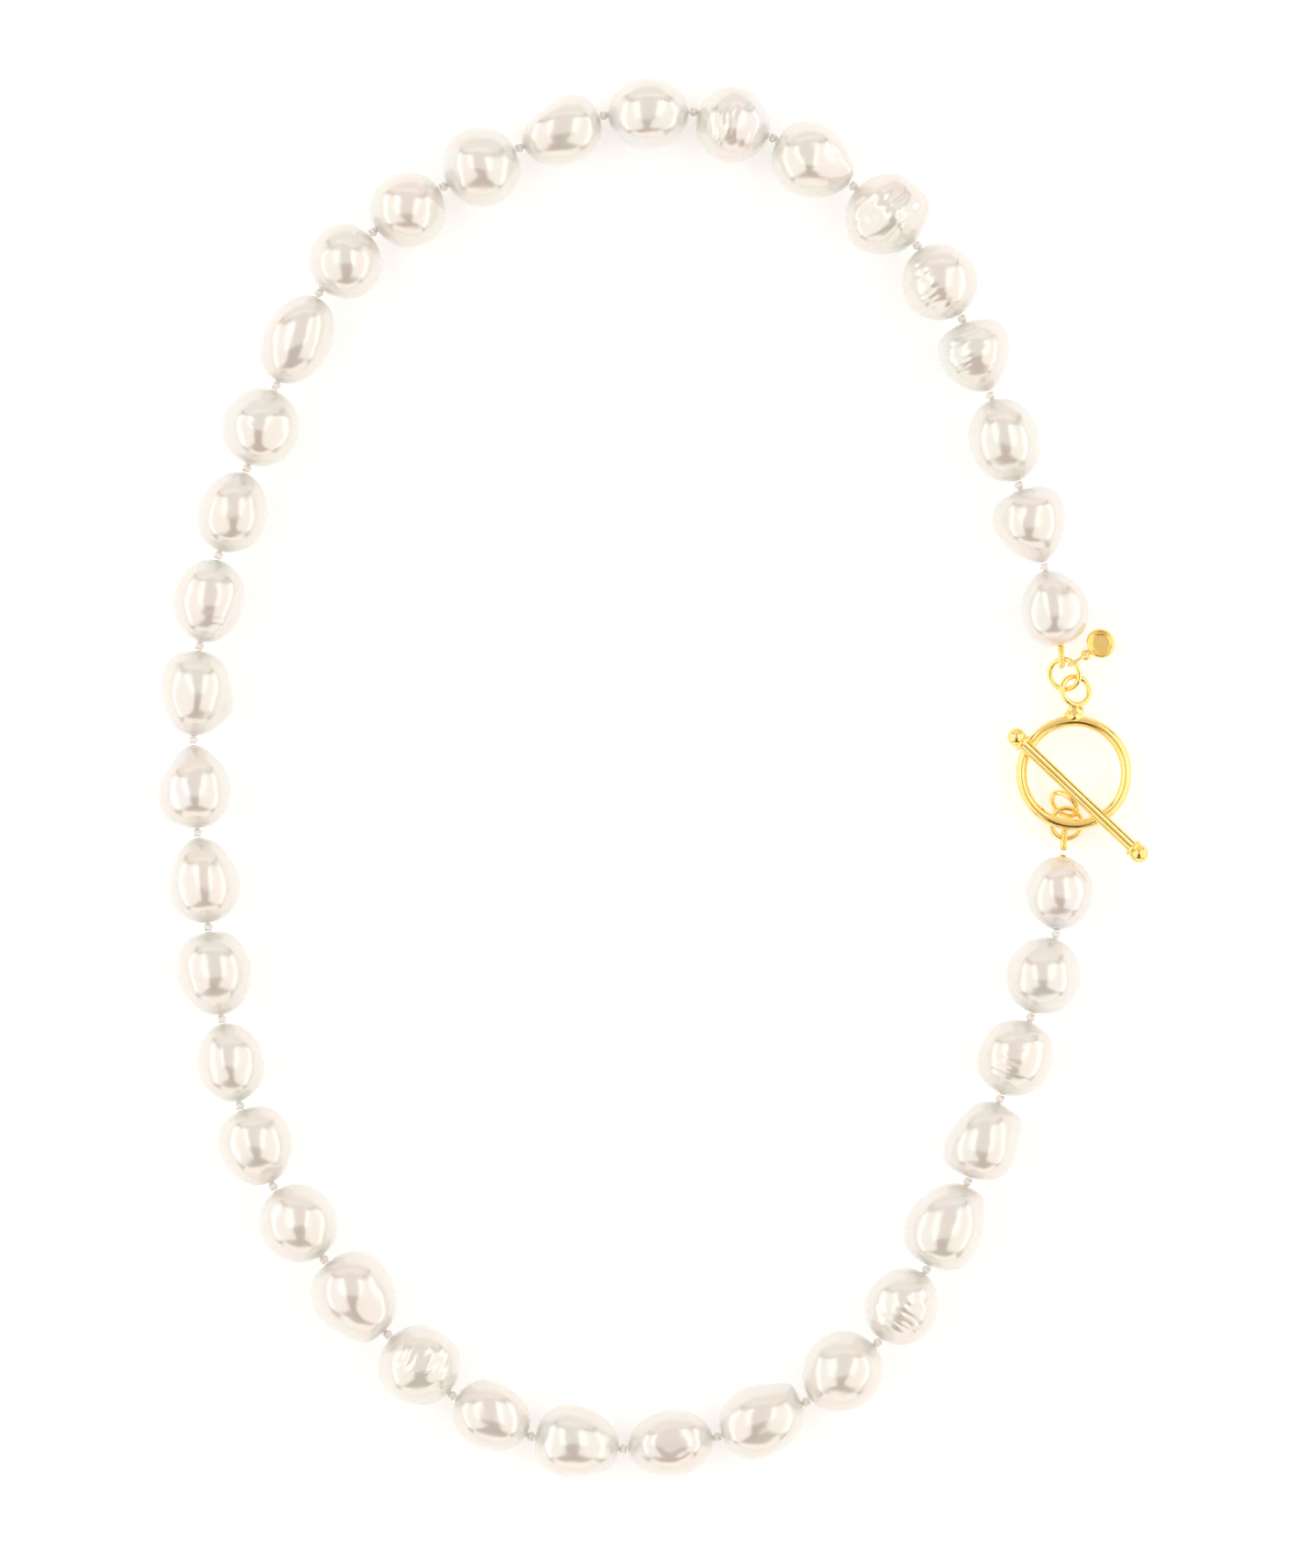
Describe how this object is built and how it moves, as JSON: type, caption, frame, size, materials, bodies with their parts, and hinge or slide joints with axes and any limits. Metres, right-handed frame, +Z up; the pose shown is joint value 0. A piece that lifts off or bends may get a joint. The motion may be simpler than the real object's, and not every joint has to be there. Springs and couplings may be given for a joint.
{
  "type": "pearl necklace",
  "caption": "Single-strand necklace of knotted baroque pearls, closed by a toggle ring and bar clasp with a small tag.",
  "frame": {"origin": "under the middle of the whole necklace, on the surface it lies on", "axes": "+Y along the oval's long way, from the bar's side to the toggle ring's side; +X towards the clasp; +Z up"},
  "size_m": [0.1288, 0.1826, 0.0107],
  "materials": {
    "pearl": "pearl nacre lustre",
    "gold": "polished gold plate",
    "tag_gold": "polished gold plate",
    "gimp": "fine coiled gilt wire",
    "silk": "twisted silk thread"
  },
  "bodies": {
    "pearl_01": {"pearl_01": "pearl", "upper_gimp": "gimp"},
    "pearl_02": {"pearl_02": "pearl"},
    "pearl_03": {"pearl_03": "pearl"},
    "pearl_04": {"pearl_04": "pearl"},
    "pearl_05": {"pearl_05": "pearl"},
    "pearl_06": {"pearl_06": "pearl"},
    "pearl_07": {"pearl_07": "pearl"},
    "pearl_08": {"pearl_08": "pearl"},
    "pearl_09": {"pearl_09": "pearl"},
    "pearl_10": {"pearl_10": "pearl"},
    "pearl_11": {"pearl_11": "pearl"},
    "pearl_12": {"pearl_12": "pearl"},
    "pearl_13": {"pearl_13": "pearl"},
    "pearl_14": {"pearl_14": "pearl"},
    "pearl_15": {"pearl_15": "pearl"},
    "pearl_16": {"pearl_16": "pearl"},
    "pearl_17": {"pearl_17": "pearl"},
    "pearl_18": {"pearl_18": "pearl"},
    "pearl_19": {"pearl_19": "pearl"},
    "pearl_20": {"pearl_20": "pearl"},
    "pearl_21": {"pearl_21": "pearl"},
    "pearl_22": {"pearl_22": "pearl"},
    "pearl_23": {"pearl_23": "pearl"},
    "pearl_24": {"pearl_24": "pearl"},
    "pearl_25": {"pearl_25": "pearl"},
    "pearl_26": {"pearl_26": "pearl"},
    "pearl_27": {"pearl_27": "pearl"},
    "pearl_28": {"pearl_28": "pearl"},
    "pearl_29": {"pearl_29": "pearl"},
    "pearl_30": {"pearl_30": "pearl"},
    "pearl_31": {"pearl_31": "pearl"},
    "pearl_32": {"pearl_32": "pearl"},
    "pearl_33": {"pearl_33": "pearl"},
    "pearl_34": {"pearl_34": "pearl"},
    "pearl_35": {"pearl_35": "pearl"},
    "pearl_36": {"pearl_36": "pearl"},
    "pearl_37": {"pearl_37": "pearl"},
    "upper_jump_ring": {"upper_jump_ring": "gold"},
    "toggle_ring": {"toggle_ring": "gold", "toggle_ring_loop": "gold"},
    "toggle_bar": {"toggle_bar": "gold", "bar_collars": "gold", "bar_end_balls": "gold", "bar_eyelet": "gold"},
    "lower_jump_ring": {"lower_jump_ring": "gold"},
    "lower_gimp": {"lower_gimp": "gimp"},
    "tag_link": {"tag_link": "gold"},
    "maker_tag": {"maker_tag": "tag_gold"}
  },
  "joints": [
    {"name": "knot_18_up_down", "type": "hinge", "parent": "pearl_19", "child": "pearl_18", "pos_m": [-0.06013, 0.00489, 0.00484], "axis": [-0.9999, 0.0108, 0], "range_deg": [-30, 30]},
    {"name": "knot_17_sideways", "type": "hinge", "parent": "pearl_18", "child": "pearl_17", "pos_m": [-0.05934, 0.01717, 0.00479], "axis": [0, 0, 1], "range_deg": [0, 30]},
    {"name": "knot_16_up_down", "type": "hinge", "parent": "pearl_17", "child": "pearl_16", "pos_m": [-0.05686, 0.02901, 0.00479], "axis": [0.966, -0.2584, 0], "range_deg": [-30, 30]},
    {"name": "knot_15_sideways", "type": "hinge", "parent": "pearl_16", "child": "pearl_15", "pos_m": [-0.05315, 0.04033, 0.00504], "axis": [0, 0, 1], "range_deg": [0, 30]},
    {"name": "knot_14_up_down", "type": "hinge", "parent": "pearl_15", "child": "pearl_14", "pos_m": [-0.04933, 0.05111, 0.00496], "axis": [-0.9255, 0.3788, 0], "range_deg": [-30, 30]},
    {"name": "knot_13_sideways", "type": "hinge", "parent": "pearl_14", "child": "pearl_13", "pos_m": [-0.04377, 0.06324, 0.00489], "axis": [0, 0, 1], "range_deg": [0, 30]},
    {"name": "knot_12_up_down", "type": "hinge", "parent": "pearl_13", "child": "pearl_12", "pos_m": [-0.03673, 0.07117, 0.00516], "axis": [0.6483, -0.7614, 0], "range_deg": [-30, 30]},
    {"name": "knot_11_sideways", "type": "hinge", "parent": "pearl_12", "child": "pearl_11", "pos_m": [-0.02752, 0.07708, 0.00529], "axis": [0, 0, 1], "range_deg": [0, 30]},
    {"name": "knot_10_up_down", "type": "hinge", "parent": "pearl_11", "child": "pearl_10", "pos_m": [-0.01761, 0.08217, 0.00499], "axis": [-0.4084, 0.9128, 0], "range_deg": [-30, 30]},
    {"name": "knot_09_sideways", "type": "hinge", "parent": "pearl_10", "child": "pearl_09", "pos_m": [-0.00661, 0.08643, 0.00476], "axis": [0, 0, 1], "range_deg": [0, 30]},
    {"name": "knot_08_up_down", "type": "hinge", "parent": "pearl_09", "child": "pearl_08", "pos_m": [0.00511, 0.08689, 0.00506], "axis": [-0.133, -0.9911, 0], "range_deg": [-30, 30]},
    {"name": "knot_07_sideways", "type": "hinge", "parent": "pearl_08", "child": "pearl_07", "pos_m": [0.01547, 0.08347, 0.00519], "axis": [0, 0, 1], "range_deg": [0, 30]},
    {"name": "knot_06_up_down", "type": "hinge", "parent": "pearl_07", "child": "pearl_06", "pos_m": [0.02593, 0.0772, 0.00539], "axis": [0.598, 0.8015, 0], "range_deg": [-30, 30]},
    {"name": "knot_05_sideways", "type": "hinge", "parent": "pearl_06", "child": "pearl_05", "pos_m": [0.03428, 0.06944, 0.00539], "axis": [0, 0, 1], "range_deg": [0, 30]},
    {"name": "knot_04_up_down", "type": "hinge", "parent": "pearl_05", "child": "pearl_04", "pos_m": [0.04016, 0.0599, 0.00506], "axis": [-0.8981, -0.4397, 0], "range_deg": [-30, 30]},
    {"name": "knot_03_sideways", "type": "hinge", "parent": "pearl_04", "child": "pearl_03", "pos_m": [0.04384, 0.04991, 0.00491], "axis": [0, 0, 1], "range_deg": [0, 30]},
    {"name": "knot_02_up_down", "type": "hinge", "parent": "pearl_03", "child": "pearl_02", "pos_m": [0.04758, 0.03818, 0.00491], "axis": [0.954, 0.2998, 0], "range_deg": [-30, 30]},
    {"name": "knot_01_sideways", "type": "hinge", "parent": "pearl_02", "child": "pearl_01", "pos_m": [0.05087, 0.02754, 0.00529], "axis": [0, 0, 1], "range_deg": [0, 30]},
    {"name": "knot_19_sideways", "type": "hinge", "parent": "pearl_19", "child": "pearl_20", "pos_m": [-0.05961, -0.0072, 0.00484], "axis": [0, 0, 1], "range_deg": [-30, 0]},
    {"name": "knot_20_up_down", "type": "hinge", "parent": "pearl_20", "child": "pearl_21", "pos_m": [-0.05819, -0.01952, 0.00491], "axis": [0.9916, 0.1295, 0], "range_deg": [-30, 30]},
    {"name": "knot_21_sideways", "type": "hinge", "parent": "pearl_21", "child": "pearl_22", "pos_m": [-0.05643, -0.03151, 0.00481], "axis": [0, 0, 1], "range_deg": [-30, 0]},
    {"name": "knot_22_up_down", "type": "hinge", "parent": "pearl_22", "child": "pearl_23", "pos_m": [-0.05406, -0.04278, 0.00481], "axis": [-0.9552, -0.2959, 0], "range_deg": [-30, 30]},
    {"name": "knot_23_sideways", "type": "hinge", "parent": "pearl_23", "child": "pearl_24", "pos_m": [-0.04968, -0.05331, 0.00514], "axis": [0, 0, 1], "range_deg": [-30, 0]},
    {"name": "knot_24_up_down", "type": "hinge", "parent": "pearl_24", "child": "pearl_25", "pos_m": [-0.04303, -0.06284, 0.00536], "axis": [0.7906, 0.6123, 0], "range_deg": [-30, 30]},
    {"name": "knot_25_sideways", "type": "hinge", "parent": "pearl_25", "child": "pearl_26", "pos_m": [-0.03475, -0.07258, 0.00549], "axis": [0, 0, 1], "range_deg": [-30, 0]},
    {"name": "knot_26_up_down", "type": "hinge", "parent": "pearl_26", "child": "pearl_27", "pos_m": [-0.02634, -0.08059, 0.00509], "axis": [-0.5815, -0.8135, 0], "range_deg": [-30, 30]},
    {"name": "knot_27_sideways", "type": "hinge", "parent": "pearl_27", "child": "pearl_28", "pos_m": [-0.01608, -0.08593, 0.00481], "axis": [0, 0, 1], "range_deg": [-30, 0]},
    {"name": "knot_28_up_down", "type": "hinge", "parent": "pearl_28", "child": "pearl_29", "pos_m": [-0.00403, -0.08756, 0.00476], "axis": [0.0026, 1, 0], "range_deg": [-30, 30]},
    {"name": "knot_29_sideways", "type": "hinge", "parent": "pearl_29", "child": "pearl_30", "pos_m": [0.00825, -0.08599, 0.00479], "axis": [0, 0, 1], "range_deg": [-30, 0]},
    {"name": "knot_30_up_down", "type": "hinge", "parent": "pearl_30", "child": "pearl_31", "pos_m": [0.01984, -0.08142, 0.00511], "axis": [0.5081, -0.8613, 0], "range_deg": [-30, 30]},
    {"name": "knot_31_sideways", "type": "hinge", "parent": "pearl_31", "child": "pearl_32", "pos_m": [0.02917, -0.07365, 0.00511], "axis": [0, 0, 1], "range_deg": [-30, 0]},
    {"name": "knot_32_up_down", "type": "hinge", "parent": "pearl_32", "child": "pearl_33", "pos_m": [0.03552, -0.06416, 0.00509], "axis": [-0.873, 0.4878, 0], "range_deg": [-30, 30]},
    {"name": "knot_33_sideways", "type": "hinge", "parent": "pearl_33", "child": "pearl_34", "pos_m": [0.04089, -0.05267, 0.00506], "axis": [0, 0, 1], "range_deg": [-30, 0]},
    {"name": "knot_34_up_down", "type": "hinge", "parent": "pearl_34", "child": "pearl_35", "pos_m": [0.04513, -0.04184, 0.00496], "axis": [0.9339, -0.3574, 0], "range_deg": [-30, 30]},
    {"name": "knot_35_sideways", "type": "hinge", "parent": "pearl_35", "child": "pearl_36", "pos_m": [0.0491, -0.03122, 0.00504], "axis": [0, 0, 1], "range_deg": [-30, 0]},
    {"name": "knot_36_up_down", "type": "hinge", "parent": "pearl_36", "child": "pearl_37", "pos_m": [0.0524, -0.02039, 0.00529], "axis": [-0.9803, 0.1976, 0], "range_deg": [-30, 30]},
    {"name": "upper_jump_ring_swing", "type": "hinge", "parent": "pearl_01", "child": "upper_jump_ring", "pos_m": [0.05316, 0.01545, 0.00379], "axis": [1, 0, 0], "range_deg": [-25, 25]},
    {"name": "toggle_ring_swing", "type": "hinge", "parent": "upper_jump_ring", "child": "toggle_ring", "pos_m": [0.05401, 0.01286, 0.00349], "axis": [0.835, 0.5503, 0], "range_deg": [-20, 20]},
    {"name": "bar_turn", "type": "hinge", "parent": "toggle_ring", "child": "toggle_bar", "pos_m": [0.05522, -0.00228, 0.00521], "axis": [0, 0, 1], "range_deg": [0, 12]},
    {"name": "lower_jump_ring_swing", "type": "hinge", "parent": "toggle_bar", "child": "lower_jump_ring", "pos_m": [0.05387, -0.00398, 0.00236], "axis": [1, 0, 0], "range_deg": [-8, 8]},
    {"name": "lower_gimp_swing", "type": "hinge", "parent": "lower_jump_ring", "child": "lower_gimp", "pos_m": [0.05357, -0.00792, 0.00181], "axis": [1, 0, 0], "range_deg": [-15, 15]},
    {"name": "tag_link_swing", "type": "hinge", "parent": "upper_jump_ring", "child": "tag_link", "pos_m": [0.0547, 0.015, 0.00423], "axis": [-0.766, 0.6428, 0], "range_deg": [-20, 20]},
    {"name": "tag_swing", "type": "hinge", "parent": "tag_link", "child": "maker_tag", "pos_m": [0.05631, 0.01604, 0.00423], "axis": [-0.5416, 0.8406, 0], "range_deg": [-20, 20]}
  ]
}
